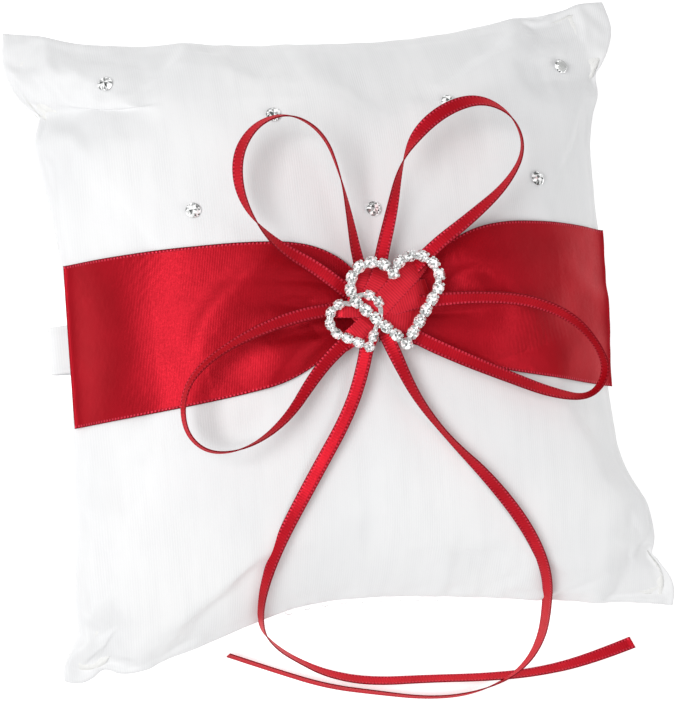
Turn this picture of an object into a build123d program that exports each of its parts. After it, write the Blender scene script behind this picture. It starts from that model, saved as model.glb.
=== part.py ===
from build123d import *
from math import acos, atan2, cos, hypot, pi, radians, sin, sqrt, tan
import os

# A ring bearer pillow, lying on its back with its bow upwards. Millimetres.
# +Z is up out of the front panel, +Y is towards the pillow's top edge, +X is to its right.
# The origin is on the surface that it rests on, below the middle of the pillow.

os.makedirs("parts", exist_ok=True)

# ---- pillow ----
corner_reach = 100.0     # each corner is this far from the middle, along X and along Y
side_pull = 12.0         # how far the left and right edges draw in at their middles
top_pull = 7.5
bottom_pull = 14.0
seam_height = 32.0
front_rise = 33.0        # height of the full front crown above the seam
back_drop = 34.4         # depth of the full back crown, before the resting flat cuts it
cloth_thickness = 0.6
fill_gap = 0.3
front_angles = (0, 15, 30, 45, 60, 72, 82)   # level sections, as angles up the crown's arc
back_angles = (0, 15, 30, 45, 56, 66)        # the last one is the resting flat

# ---- hand strap ----
strap_width = 15.0
strap_thickness = 0.5
strap_middle_y = 1.0

# ---- wide ribbon ----
wide_ribbon_reach = 100.0   # its sides are drawn out to here, past the crown on both sides
wide_ribbon_gap = 0.3
wide_ribbon_thickness = 0.4
gather_centre = (1.3, 2.5)
gather_width = 17.0
thread_diameter = 0.4

# ---- bow of narrow ribbon, 4.5 mm wide and 0.35 mm thick ----
ribbon_width = 4.5
ribbon_thickness = 0.35
cord_diameter = sqrt(4 * ribbon_width * ribbon_thickness / pi)   # a round of the same section
knot_radius = 6.5
knot_base = 66.0
knot_height = 4.6
knot_rounding = 1.6

# ---- double heart buckle ----
cup_margin = 0.1         # each stone's cup is this much wider than the stone, all round
link_width = 1.4         # the strip that joins one cup to the next
frame_thickness = 1.0
stone_gap = 0.05
stone_clearance = 1.3    # between a hidden heart's stones and the strip that lies over them
stone_height = 1.6
stone_slope = 24         # degrees that a stone's sides lean in
# A heart is two round lobes and two straight sides: lobe is the radius of each, spread how far
# their centres stand to each side of the middle, and tip how far the point lies below them.
big_heart = {"middle": (7.0, 9.8), "turn": 5.0, "spread": 6.7, "lobe": 7.3, "tip": 18.7,
             "base": 72.4, "stones": 22, "stone": 3.4}
small_heart = {"middle": (-6.0, 1.0), "turn": 19.0, "spread": 3.3, "lobe": 5.0, "tip": 10.3,
               "base": 71.2, "stones": 14, "stone": 2.9}

# ---- scattered crystals ----
crystal_diameter = 4.7
crystal_height = 1.7
crystal_slope = 40       # degrees that a crystal's sides lean in above its base
glue_diameter = 3.6
glue_thickness = 0.25
crystal_places = (
    (-71.2, 80.8), (-21.9, 65.7), (34.6, 66.7), (78.0, 78.9),
    (-49.6, 37.9), (5.2, 33.8), (61.3, 40.8),
)


def save(piece, name):
    """Label a finished piece and write it to its own file."""
    piece.part.label = name
    export_step(piece.part, f"parts/{name}.step")


# ---------------------------------------------------------------- pillow shape


def plan_point(u, v, grow):
    """Place in plan of a point that is u of the way across and v of the way up.

    The edges draw in between the corners, most at their middles."""
    half_across = corner_reach + grow - side_pull * (1 - abs(v) ** 3)
    pull = top_pull if v > 0 else bottom_pull
    half_up = corner_reach + grow - pull * (1 - u * u)
    return (u * half_across, v * half_up)


def level_edges(level, grow):
    """The four edges of the level curve (1 - u*u)(1 - v*v) = level*level, each as points."""
    diagonal = sqrt(1 - level)
    steps = [diagonal * k / 3 for k in (-3, -2, -1, 0, 1, 2, 3)]
    reach = [sqrt(1 - level * level / (1 - s * s)) if level > 0 else 1.0 for s in steps]
    right = [plan_point(r, s, grow) for r, s in zip(reach, steps)]
    top = [plan_point(-s, r, grow) for r, s in zip(reach, steps)]
    left = [plan_point(-r, -s, grow) for r, s in zip(reach, steps)]
    bottom = [plan_point(s, -r, grow) for r, s in zip(reach, steps)]
    return right, top, left, bottom


def level_face(height, level, grow):
    """One level section of the pillow."""
    with BuildSketch(Plane.XY.offset(height)) as section:
        with BuildLine():
            for points in level_edges(level, grow):
                Spline(*points)
        make_face()
    return section.sketch.face()


def front_sections(grow):
    """Level sections of the front crown, moved outwards by grow."""
    levels = [sin(radians(a)) for a in front_angles]
    return [level_face(seam_height + (front_rise + grow) * q, q, grow) for q in levels]


def back_sections(grow):
    """Level sections of the back crown, moved outwards by grow."""
    levels = [sin(radians(a)) for a in back_angles]
    return [level_face(seam_height - (back_drop + grow) * q, q, grow) for q in levels]


def front_height(x, y):
    """Height of the front crown over a point in plan, found by inverting plan_point."""
    u = x / corner_reach
    v = y / corner_reach
    for _ in range(40):
        across, up = plan_point(u, v, 0)
        u += (x - across) / corner_reach
        v += (y - up) / corner_reach
    return seam_height + front_rise * sqrt(max(0, (1 - u * u) * (1 - v * v)))


def front_normal(x, y):
    """Outward normal of the front crown over a point in plan."""
    step = 0.5
    slope_x = (front_height(x + step, y) - front_height(x - step, y)) / (2 * step)
    slope_y = (front_height(x, y + step) - front_height(x, y - step)) / (2 * step)
    return Vector(-slope_x, -slope_y, 1).normalized()


# ---------------------------------------------------------------- cover and filling

front_outside = front_sections(0)
front_inside = front_sections(-cloth_thickness)
with BuildPart() as front_panel:
    loft(sections=front_outside)
    loft(sections=front_inside, mode=Mode.SUBTRACT)
save(front_panel, "front_panel")

back_outside = back_sections(0)
back_inside = back_sections(-cloth_thickness)
with BuildPart() as back_panel:
    loft(sections=back_outside)
    loft(sections=back_inside, mode=Mode.SUBTRACT)
save(back_panel, "back_panel")

fill_grow = -(cloth_thickness + fill_gap)
fill_front = front_sections(fill_grow)
fill_back = back_sections(fill_grow)
with BuildPart() as fibre_fill:
    loft(sections=fill_front)
    loft(sections=fill_back)
save(fibre_fill, "fibre_fill")

# The seam's stitching runs round inside the cover, between the cloth and the filling.
seam_thread_margin = 0.15
seam_thread_inner_margin = 0.05
seam_thread_half_height = 0.05
thread_outer = level_face(seam_height, 0, -cloth_thickness - seam_thread_margin)
thread_inner = level_face(seam_height, 0, fill_grow + seam_thread_inner_margin)
with BuildPart() as seam_thread:
    extrude(to_extrude=thread_outer, amount=seam_thread_half_height, both=True)
    extrude(to_extrude=thread_inner, amount=seam_thread_half_height, both=True, mode=Mode.SUBTRACT)
save(seam_thread, "seam_thread")

# Hand stitches close the turning gap in the middle of the bottom edge.
closing_pitch = 6.0
closing_count = 10
closing_length = 3.0
closing_stand_off = 0.35
closing_places = []
for k in range(closing_count):
    x = (k - (closing_count - 1) / 2) * closing_pitch
    y = plan_point(x / corner_reach, -1, 0)[1] - closing_stand_off
    closing_places.append((x, y, seam_height))
with BuildPart() as closing_stitches:
    with Locations(*closing_places):
        Cylinder(radius=thread_diameter / 2, height=closing_length)
save(closing_stitches, "closing_stitches")

# ---------------------------------------------------------------- hand strap

strap_half = strap_thickness / 2
strap_left = [(-88.7, 31.6), (-92.4, 26.5), (-89.2, 19.0), (-76.0, 10.3), (-57.5, 3.6), (-46.0, 1.2),
              (-38.0, strap_half)]
strap_right = [(38.0, strap_half), (46.0, 1.3), (57.0, 3.8), (74.8, 10.8), (85.6, 19.5), (88.8, 26.5),
               (88.7, 31.6)]
with BuildPart() as hand_strap:
    with BuildSketch(Plane.XZ.offset(-strap_middle_y)):
        with BuildLine():
            Spline(*strap_left)
            Line(strap_left[-1], strap_right[0])
            Spline(*strap_right)
        trace(line_width=strap_thickness)
    extrude(amount=strap_width / 2, both=True)
save(hand_strap, "hand_strap")

# ---------------------------------------------------------------- wide ribbon

pinch = gather_width / 2
mid_x, mid_y = gather_centre
upper_side = [(-wide_ribbon_reach, 26.5), (-58, 26.5), (-18, 24), (mid_x, mid_y + pinch), (22, 18), (48, 26),
              (wide_ribbon_reach, 24.7)]
lower_side = [(wide_ribbon_reach, -27), (60, -23), (22, -13), (mid_x, mid_y - pinch), (-18, -12.5), (-58, -21),
              (-wide_ribbon_reach, -24.5)]
cutter_height = seam_height + front_rise + 10   # well above the ribbon's top
wide_outer = front_sections(wide_ribbon_gap + wide_ribbon_thickness)
wide_inner = front_sections(wide_ribbon_gap)
with BuildPart() as wide_ribbon:
    loft(sections=wide_outer)
    loft(sections=wide_inner, mode=Mode.SUBTRACT)
    with BuildSketch(Plane.XY):
        with BuildLine():
            Spline(*upper_side)
            Line(upper_side[-1], lower_side[0])
            Spline(*lower_side)
            Line(lower_side[-1], upper_side[0])
        make_face()
    extrude(amount=cutter_height, mode=Mode.INTERSECT)
save(wide_ribbon, "wide_ribbon")

# Three turns of thread lie over the gathers and go down through the cover on each side.
ribbon_top = seam_height + (front_rise + wide_ribbon_gap + wide_ribbon_thickness) * sin(radians(front_angles[-1]))
cover_top = seam_height + front_rise * sin(radians(front_angles[-1]))
thread_clearance = 0.05
thread_overhang = 1.0    # how far a turn goes past the gathers before it goes down
thread_level = ribbon_top + thread_diameter / 2 + thread_clearance
thread_reach = pinch + thread_overhang
thread_end = cover_top + 2 * thread_clearance
thread_pitch = 1.1
thread_bend = 0.3
thread_profile = ((-thread_reach, thread_end), (-thread_reach, thread_level),
                  (thread_reach, thread_level), (thread_reach, thread_end))
thread_turn_places = [mid_x + k * thread_pitch for k in (-1, 0, 1)]


def thread_turn(x):
    """One turn of the gathering thread, at its place along the ribbon."""
    points = [(x, mid_y + across, height) for across, height in thread_profile]
    with BuildLine() as path:
        FilletPolyline(*points, radius=thread_bend)
    with BuildPart() as turn:
        with BuildSketch(Plane(points[0], z_dir=(0, 0, 1))):
            Circle(thread_diameter / 2)
        sweep(path=path.wire())
    return turn.part


thread_turns = [thread_turn(x) for x in thread_turn_places]
with BuildPart() as gather_thread:
    add(thread_turns)
save(gather_thread, "gather_thread")

# ---------------------------------------------------------------- bow

with BuildPart() as bow_knot:
    with BuildSketch(Plane.XY.offset(knot_base)):
        with Locations(gather_centre):
            Circle(knot_radius)
    extrude(amount=knot_height)
    fillet(bow_knot.edges().filter_by(GeomType.CIRCLE), radius=knot_rounding)
save(bow_knot, "bow_knot")


# Each ribbon of the bow follows a list of points, from the knot outwards.
bow_routes = {
    "bow_loop_upper_left": [
        (-4.4, 6.3, 68.3), (-14, 15, 71), (-28.5, 24, 73), (-37.6, 37, 74.5), (-38.2, 51, 75), (-31, 60.8, 75),
        (-20, 63.4, 74.5), (-10.2, 56.5, 74), (-6.2, 43, 73), (-4.4, 30, 71.5), (-3, 18, 69.5), (-0.7, 9.1, 68.3)],
    "bow_loop_upper_right": [
        (2.2, 9.4, 68.3), (4.2, 18, 70), (8.4, 31, 72), (12.2, 45.5, 74.5), (18.8, 55.5, 76), (29.5, 62.3, 75.5),
        (40.5, 64.2, 74), (50, 58.5, 73), (52.8, 48, 73), (45.8, 37.5, 73.5), (33.2, 28, 73), (18.6, 18.5, 70.5),
        (6.4, 7.2, 68.3)],
    "bow_loop_lower_left": [
        (-5.6, 3.2, 68.3), (-15, 3.8, 70), (-30, 1, 72), (-46, -5, 72.5), (-57, -12.5, 73), (-61, -21, 73),
        (-60, -30.5, 72), (-53, -36.5, 71), (-41, -35.5, 70.5), (-29.2, -28, 70.5), (-20, -16.4, 69.5),
        (-12, -8.5, 68.6), (-3.4, -2.8, 68.3)],
    "bow_loop_lower_right": [
        (8.3, 3.3, 68.3), (20, 4, 71), (35, 3.5, 72.5), (50, 1.2, 72), (63, -4.8, 70), (71.6, -13.5, 66.5),
        (75.6, -22.5, 63), (69.8, -30.5, 61), (56.5, -27.8, 63), (40, -20.8, 67.5), (26, -14.2, 69.5),
        (14, -7.6, 69.2), (6.5, -2.2, 68.3)],
    "tail_left": [
        (-1.2, -4, 68.3), (-3.6, -13.5, 68), (-9.5, -28, 66.3), (-21.5, -46, 62.5), (-33.6, -66, 55.5),
        (-38.8, -81.5, 46.5), (-37.6, -92.5, 33), (-31.5, -99.5, 19), (-23, -106, 8), (-12, -112.6, 3.2),
        (2.5, -117, 2.4), (23, -118.5, 2.2), (43, -120.5, 2), (61, -121, 2.2), (80, -119, 2), (96.5, -115, 2)],
    "tail_right": [
        (3.5, -4.1, 68.3), (6.6, -13, 68), (12.2, -26, 66.3), (21.4, -38.5, 63.5), (34, -52, 60.5),
        (46.2, -68.5, 55.5), (53.6, -84, 48.5), (56.4, -97.5, 34), (58.4, -107.5, 19), (56, -116, 9.5),
        (49, -122, 5), (36, -125.5, 2.6), (21, -124.8, 2.2), (4, -120.8, 2.2), (-12, -116.8, 2.2),
        (-28, -110, 2.2), (-44.3, -102.5, 2.2)],
}


def corner_radii(points):
    """The largest even arc for each inner point: 0.45 of its shorter run over the tangent of half its turn."""
    places = [Vector(*p) for p in points]
    radii = []
    for before, here, after in zip(places, places[1:], places[2:]):
        arriving = here - before
        leaving = after - here
        half_turn = radians(arriving.get_angle(leaving)) / 2
        radii.append(0.45 * min(arriving.length, leaving.length) / tan(half_turn))
    return radii


cord_section = pi * cord_diameter ** 2 / 4
for name, points in bow_routes.items():
    radii = corner_radii(points)
    with BuildLine() as route:
        FilletPolyline(*points, radius=radii)
    start = Plane(points[0], z_dir=route.wire() % 0)
    with BuildPart() as ribbon:
        with BuildSketch(start):
            Circle(cord_diameter / 2)
        sweep(path=route.wire())
    length = route.wire().length
    filled = ribbon.part.volume / (cord_section * length)
    print(f"{name}: length {length:.1f}, volume ratio {filled:.3f}, radii", [round(r, 1) for r in radii])
    save(ribbon, name)

# ---------------------------------------------------------------- double heart buckle


def heart_place(heart, part_way):
    """A place on the heart, part_way being 0 at its notch, 0.5 at its point and 1 at the notch again.

    The first half goes round the right lobe and down the straight side, and the second is its mirror."""
    spread = heart["spread"]
    lobe = heart["lobe"]
    tip = heart["tip"]
    start = atan2(sqrt(lobe ** 2 - spread ** 2), -spread)
    end = atan2(-tip, -spread) + acos(lobe / hypot(spread, tip))
    around = lobe * (start - end)
    down = sqrt(spread ** 2 + tip ** 2 - lobe ** 2)
    travelled = 2 * min(part_way, 1 - part_way) * (around + down)
    if travelled < around:
        angle = start - travelled / lobe
        x = spread + lobe * cos(angle)
        y = lobe * sin(angle)
    else:
        left = (around + down - travelled) / down
        x = left * (spread + lobe * cos(end))
        y = -tip + left * (tip + lobe * sin(end))
    if part_way > 0.5:
        x = -x
    turn = radians(heart["turn"])
    middle_x, middle_y = heart["middle"]
    return (middle_x + x * cos(turn) - y * sin(turn), middle_y + x * sin(turn) + y * cos(turn))


def heart_places(heart, count):
    """Places at equal steps along the heart, from its notch."""
    return [heart_place(heart, k / count) for k in range(count)]


def near(place, others, distance):
    """True where a place is nearer than a distance to any of the others."""
    return any(hypot(place[0] - x, place[1] - y) < distance for x, y in others)


def heart_plate(heart):
    """The setting's flat heart: a round cup for each stone, and a strip from cup to cup."""
    places = heart_places(heart, heart["stones"])
    with BuildSketch(Plane.XY.offset(heart["base"])) as plate:
        with BuildLine():
            Polyline(*places, close=True)
        trace(line_width=link_width)
        with Locations(*places):
            Circle(heart["stone"] / 2 + cup_margin)
    return plate.sketch


def build_heart(heart, name, hidden_under):
    """One heart: its setting, and its stones except where another heart lies over them."""
    plate = heart_plate(heart)
    with BuildPart() as setting:
        extrude(to_extrude=plate, amount=frame_thickness)
    save(setting, f"{name}_frame")

    clear = link_width / 2 + heart["stone"] / 2 + stone_clearance
    places = [p for p in heart_places(heart, heart["stones"]) if not near(p, hidden_under, clear)]
    stone_base = heart["base"] + frame_thickness + stone_gap
    with BuildPart() as stones:
        with BuildSketch(Plane.XY.offset(stone_base)):
            with Locations(*places):
                RegularPolygon(radius=heart["stone"] / 2, side_count=8)
        extrude(amount=stone_height, taper=stone_slope)
    save(stones, f"{name}_stones")


build_heart(big_heart, "big_heart", [])
build_heart(small_heart, "small_heart", heart_places(big_heart, 180))

# Two stitches tie the buckle to the knot, between the knot's top and the settings.
stitch_gap = 0.1
stitch_base = knot_base + knot_height + stitch_gap
stitch_places = ((-3.0, 2.0), (-1.2, 0.2))
with BuildPart() as buckle_stitches:
    with BuildSketch(Plane.XY.offset(stitch_base)):
        with Locations(*stitch_places):
            Circle(thread_diameter / 2)
    extrude(amount=big_heart["base"] - stitch_base - stitch_gap)
save(buckle_stitches, "buckle_stitches")

# ---------------------------------------------------------------- scattered crystals


def crystal_plane(place, lift):
    """A plane on the front crown at a place in plan, lifted along the crown's normal."""
    x, y = place
    normal = front_normal(x, y)
    foot = Vector(x, y, front_height(x, y))
    return Plane(foot + normal * lift, z_dir=normal)


glue_lift = 0.3
crystal_lift = glue_lift + glue_thickness
with BuildPart() as crystal_glue:
    for place in crystal_places:
        with BuildSketch(crystal_plane(place, glue_lift)):
            Circle(glue_diameter / 2)
    extrude(amount=glue_thickness)
save(crystal_glue, "crystal_glue")

crystal_base_height = 0.5
for number, place in enumerate(crystal_places, start=1):
    base = crystal_plane(place, crystal_lift)
    with BuildPart() as crystal:
        with BuildSketch(base):
            RegularPolygon(radius=crystal_diameter / 2, side_count=12)
        extrude(amount=crystal_base_height)
        with BuildSketch(base.offset(crystal_base_height)):
            RegularPolygon(radius=crystal_diameter / 2, side_count=12)
        extrude(amount=crystal_height - crystal_base_height, taper=crystal_slope)
    save(crystal, f"crystal_{number}")
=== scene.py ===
import bpy
import numpy as np
from mathutils import Matrix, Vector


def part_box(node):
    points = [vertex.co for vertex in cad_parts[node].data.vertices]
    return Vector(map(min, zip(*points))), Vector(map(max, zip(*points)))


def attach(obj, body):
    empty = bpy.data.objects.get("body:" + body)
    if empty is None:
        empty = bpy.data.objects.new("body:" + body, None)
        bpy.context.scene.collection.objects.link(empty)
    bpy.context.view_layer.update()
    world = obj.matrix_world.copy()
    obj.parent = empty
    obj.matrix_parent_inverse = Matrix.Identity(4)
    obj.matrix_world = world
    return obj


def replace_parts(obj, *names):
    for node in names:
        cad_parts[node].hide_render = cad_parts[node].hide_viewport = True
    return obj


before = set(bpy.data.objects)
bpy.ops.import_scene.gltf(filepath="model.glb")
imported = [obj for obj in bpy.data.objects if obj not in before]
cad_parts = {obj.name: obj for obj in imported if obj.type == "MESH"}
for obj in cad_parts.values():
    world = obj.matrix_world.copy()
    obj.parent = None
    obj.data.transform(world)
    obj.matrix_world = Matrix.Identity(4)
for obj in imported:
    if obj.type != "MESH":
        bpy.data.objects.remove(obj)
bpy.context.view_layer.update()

MM = 0.001  # lengths in this file are millimetres, and meshes are written in metres


# ---- arrays to meshes


def unit(vectors):
    """Each row divided by its own length."""
    return vectors / np.maximum(np.linalg.norm(vectors, axis=-1, keepdims=True), 1e-12)


def grid_faces(rows, columns, closed=False, looped=False):
    """Four-sided faces of a grid. closed joins its last column to its first, and looped its last row too."""
    index = np.arange(rows * columns).reshape(rows, columns)
    if closed:
        index = np.concatenate([index, index[:, :1]], axis=1)
    if looped:
        index = np.concatenate([index, index[:1]])
    return np.stack([index[:-1, :-1], index[:-1, 1:], index[1:, 1:], index[1:, :-1]], axis=-1).reshape(-1, 4)


def copies(points, faces):
    """Copies of one shape, given as the points of each, as one list of points and one of faces."""
    count = points.shape[-2]
    first = np.arange(points[..., 0, 0].size)[:, None, None] * count
    return points.reshape(-1, 3), (faces[None] + first).reshape(-1, faces.shape[1])


def make(name, points, faces, finish=None, uv=None, smooth=True):
    """A mesh object at the origin, from points in millimetres. uv is millimetres too, two for each point."""
    mesh = bpy.data.meshes.new(name)
    mesh.from_pydata((np.asarray(points, float).reshape(-1, 3) * MM).tolist(), [], [list(f) for f in faces])
    if uv is not None:
        corner_points = np.empty(len(mesh.loops), int)
        mesh.loops.foreach_get("vertex_index", corner_points)
        layer = mesh.uv_layers.new(name="weave")
        layer.data.foreach_set("uv", np.asarray(uv, float)[corner_points].ravel())
    mesh.polygons.foreach_set("use_smooth", np.full(len(mesh.polygons), smooth))
    if finish:
        mesh.materials.append(finish)
    mesh.update()
    piece = bpy.data.objects.new(name, mesh)
    bpy.context.scene.collection.objects.link(piece)
    return piece


def mesh_points(mesh):
    """A mesh's points in millimetres."""
    points = np.empty(len(mesh.vertices) * 3)
    mesh.vertices.foreach_get("co", points)
    return points.reshape(-1, 3) / MM


def settled(piece):
    """A piece's points in millimetres with its modifiers worked out."""
    seen = piece.evaluated_get(bpy.context.evaluated_depsgraph_get())
    mesh = seen.to_mesh()
    points = mesh_points(mesh)
    seen.to_mesh_clear()
    return points


def spline_line(controls):
    """Points along the NURBS spline that has these control points. Controls in plan lie at height 0."""
    controls = np.asarray(controls, float)
    if controls.shape[1] == 2:
        controls = np.c_[controls, np.zeros(len(controls))]
    curve = bpy.data.curves.new("spline_line", "CURVE")
    curve.dimensions = "3D"
    spline = curve.splines.new("NURBS")
    spline.points.add(len(controls) - 1)
    spline.points.foreach_set("co", np.c_[controls, np.ones(len(controls))].ravel())
    spline.order_u = 3
    spline.use_endpoint_u = True
    spline.resolution_u = 14
    holder = bpy.data.objects.new("spline_line", curve)
    mesh = bpy.data.meshes.new_from_object(holder)
    points = mesh_points(mesh) * MM
    bpy.data.objects.remove(holder)
    bpy.data.curves.remove(curve)
    bpy.data.meshes.remove(mesh)
    return points


def crowded(count, share):
    """Steps from 0 to 1 that lie closer together towards both ends, by a share."""
    step = np.linspace(-1, 1, count)
    return (share * np.sin(step * np.pi / 2) + (1 - share) * step + 1) / 2


def round_angles(count):
    """Equal angles once round a circle."""
    return np.linspace(0, 2 * np.pi, count, endpoint=False)


def evenly(line, count):
    """A line's points moved to equal steps of its length."""
    gone = np.r_[0, np.cumsum(np.linalg.norm(np.diff(line, axis=0), axis=1))]
    at = np.linspace(0, gone[-1], count)
    return np.stack([np.interp(at, gone, line[:, k]) for k in range(line.shape[1])], axis=1)


def directions(line):
    """The unit direction of a line at each of its points."""
    return unit(np.gradient(line, axis=0))


def strip(name, line, across, up, profile, finish, texture=None):
    """A closed band: the profile's (across, up) points carried along the line, with flat ends."""
    profile = np.asarray(profile, float)
    rows, columns = len(line), len(profile)
    points = line[:, None] + profile[None, :, :1] * across[:, None] + profile[None, :, 1:] * up[:, None]
    gone = np.r_[0, np.cumsum(np.linalg.norm(np.diff(line, axis=0), axis=1))]
    side = profile[:, 0] if texture is None else texture
    uv = np.stack(np.broadcast_arrays(side[None, :], gone[:, None]), axis=-1)
    faces = grid_faces(rows, columns, closed=True).tolist()
    first = list(range(columns))
    faces += [first, [(rows - 1) * columns + k for k in first[::-1]]]
    piece = make(name, points, faces, finish, uv.reshape(-1, 2))
    outward(piece)
    return piece


def all_round(quarter):
    """A flat section's outline from its quarter, which runs from its edge to its middle."""
    return np.array(quarter + [(-x, y) for x, y in quarter[-2::-1]] + [(-x, -y) for x, y in quarter[1:]]
                    + [(x, -y) for x, y in quarter[-2:0:-1]])


def outward(piece):
    """Turns a closed mesh's faces to point out of it."""
    mesh = piece.data
    points = mesh_points(mesh)
    mesh.calc_loop_triangles()
    corners = np.empty(len(mesh.loop_triangles) * 3, int)
    mesh.loop_triangles.foreach_get("vertices", corners)
    a, b, c = points[corners.reshape(-1, 3)].transpose(1, 0, 2)
    if (a * np.cross(b, c)).sum() < 0:
        mesh.flip_normals()


# ---- camera, light and floor

view_yaw, view_pitch, view_roll = np.radians((-12.3, 2.9, -5.7))
view_aim = np.array((-3.8, -7.3, 35.0))
view_distance = 600.0
view_back = np.array((np.sin(view_yaw) * np.cos(view_pitch), -np.sin(view_pitch),
                      np.cos(view_yaw) * np.cos(view_pitch)))
level_right = unit(np.cross((0, 1, 0), view_back))
level_up = np.cross(view_back, level_right)
view_right = np.cos(view_roll) * level_right + np.sin(view_roll) * level_up
view_up = np.cos(view_roll) * level_up - np.sin(view_roll) * level_right

camera_data = bpy.data.cameras.new("camera")
camera_data.lens = 96.1
camera_data.sensor_width = 36
camera_data.clip_start = 0.01
camera = bpy.data.objects.new("camera", camera_data)
bpy.context.scene.collection.objects.link(camera)
camera_place = (view_aim + view_distance * view_back) * MM
camera_turn = Matrix(np.stack([view_right, view_up, view_back], axis=1).tolist()).to_4x4()
camera.matrix_world = Matrix.Translation(camera_place.tolist()) @ camera_turn
bpy.context.scene.camera = camera


def soft_light(name, place, size, power):
    """A large soft light at a place in millimetres, turned to the pillow."""
    data = bpy.data.lights.new(name, "AREA")
    data.shape = "RECTANGLE"
    data.size, data.size_y = size[0] * MM, size[1] * MM
    data.energy = power
    light = bpy.data.objects.new(name, data)
    bpy.context.scene.collection.objects.link(light)
    away = unit(np.subtract(place, (0, 0, 40)).astype(float))
    side = unit(np.cross((0, 1, 0.001), away))
    turn = Matrix(np.stack([side, np.cross(away, side), away], axis=1).tolist()).to_4x4()
    light.matrix_world = Matrix.Translation((np.array(place) * MM).tolist()) @ turn


soft_light("key", (-540, 10, 880), (440, 560), 6.0)
soft_light("fill", (600, -360, 780), (600, 600), 2.3)
bpy.context.scene.view_settings.view_transform = "Standard"

world = bpy.data.worlds.new("studio")
bpy.context.scene.world = world
world.use_nodes = True
sky = world.node_tree.nodes["Background"].inputs
sky["Color"].default_value = (1, 1, 1, 1)
sky["Strength"].default_value = 0.45


# ---- finishes

ribbon_width = 4.5
wide_ribbon_width = 50.0


class Finish:
    """A material being made: its Principled shader, and short ways to add and join nodes."""

    def __init__(self, name, colour, roughness, **sockets):
        self.material = bpy.data.materials.new(name)
        self.material.use_nodes = True
        self.tree = self.material.node_tree
        self.shader = self.tree.nodes["Principled BSDF"]
        self.set("Base Color", (*colour, 1))
        self.set("Roughness", roughness)
        for socket, value in sockets.items():
            self.set(socket.replace("_", " "), value)

    def set(self, socket, value):
        self.shader.inputs[socket].default_value = value

    def node(self, kind, inputs=None, **settings):
        """A node of a kind, its settings, and its inputs: each is a value, or another node's output."""
        made = self.tree.nodes.new("ShaderNode" + kind)
        for key, value in settings.items():
            setattr(made, key, value)
        for key, value in (inputs or {}).items():
            self.feed(made.inputs[key], value)
        return made

    def feed(self, socket, value):
        if isinstance(value, bpy.types.NodeSocket):
            self.tree.links.new(value, socket)
        else:
            socket.default_value = value

    def join(self, output, socket):
        self.tree.links.new(output, self.shader.inputs[socket])

    def place(self, source="Object", stretch=(1, 1, 1)):
        """A texture's place: object coordinates or the weave map, stretched."""
        if source == "Object":
            at = self.node("TexCoord").outputs["Object"]
        else:
            at = self.node("UVMap", uv_map="weave").outputs["UV"]
        return self.node("Mapping", {"Vector": at, "Scale": stretch}).outputs["Vector"]

    def noise(self, at, scale, detail=3, rough=0.5):
        inputs = {"Vector": at, "Scale": scale, "Detail": detail, "Roughness": rough}
        return self.node("TexNoise", inputs).outputs[0]

    def spread(self, value, low=0.3, high=0.7, to_low=0, to_high=1):
        """A value from low to high carried to the range from to_low to to_high."""
        return self.node("MapRange", {0: value, 1: low, 2: high, 3: to_low, 4: to_high}).outputs[0]

    def math(self, operation, *values):
        return self.node("Math", dict(enumerate(values)), operation=operation).outputs[0]

    def blend(self, share, first, second):
        """Two colours mixed by a share."""
        made = self.node("Mix", data_type="RGBA", blend_type="MIX")
        for key, value in ((0, share), (6, first), (7, second)):
            self.feed(made.inputs[key], (*value, 1) if isinstance(value, tuple) else value)
        return made.outputs[2]

    def ribs(self, at, axis, period):
        """A wave from 0 to 1 along an axis, with its period in the place's own unit."""
        along = self.node("SeparateXYZ", {"Vector": at}).outputs[axis]
        turned = self.math("MULTIPLY", along, 2 * np.pi / period)
        return self.math("MULTIPLY_ADD", self.math("SINE", turned), 0.5, 0.5)

    def bump(self, height, depth, under=None):
        """A bump of a depth in millimetres, over another bump's normal if there is one."""
        inputs = {"Height": height, "Distance": depth * MM, "Strength": 1.0}
        if under is not None:
            inputs["Normal"] = under
        return self.node("Bump", inputs).outputs["Normal"]


def white_satin_finish():
    """White satin: fine ribs down the cloth, a faint cross weave, and a soft sheen."""
    f = Finish("white_satin", (0.84, 0.845, 0.85), 0.5, Sheen_Weight=0.25, Sheen_Roughness=0.4,
               Specular_IOR_Level=0.35)
    at = f.place()
    cloud = f.noise(at, 22, 4)
    tone = f.blend(f.spread(cloud), (0.80, 0.805, 0.815), (0.87, 0.87, 0.872))
    drift = f.noise(f.place(stretch=(40, 8, 8)), 5, 3)
    streak = f.noise(f.place(stretch=(900, 40, 40)), 1.0, 3)
    fine = f.ribs(at, 0, 0.74 * MM)
    cross = f.ribs(at, 1, 0.42 * MM)
    lines = f.math("ADD", f.math("MULTIPLY", fine, 0.7), f.math("MULTIPLY", streak, 0.5))
    ribbed = f.math("MULTIPLY", lines, f.spread(drift, 0.35, 0.65, 0.2, 1.0))
    f.join(f.blend(f.math("MULTIPLY", ribbed, 0.55), tone, (0.74, 0.745, 0.755)), "Base Color")
    f.join(f.spread(cloud, 0.3, 0.7, 0.44, 0.56), "Roughness")
    low = f.bump(f.noise(at, 90, 3), 0.25)
    mid = f.bump(ribbed, 0.03, low)
    f.join(f.bump(cross, 0.008, mid), "Normal")
    return f.material


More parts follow.
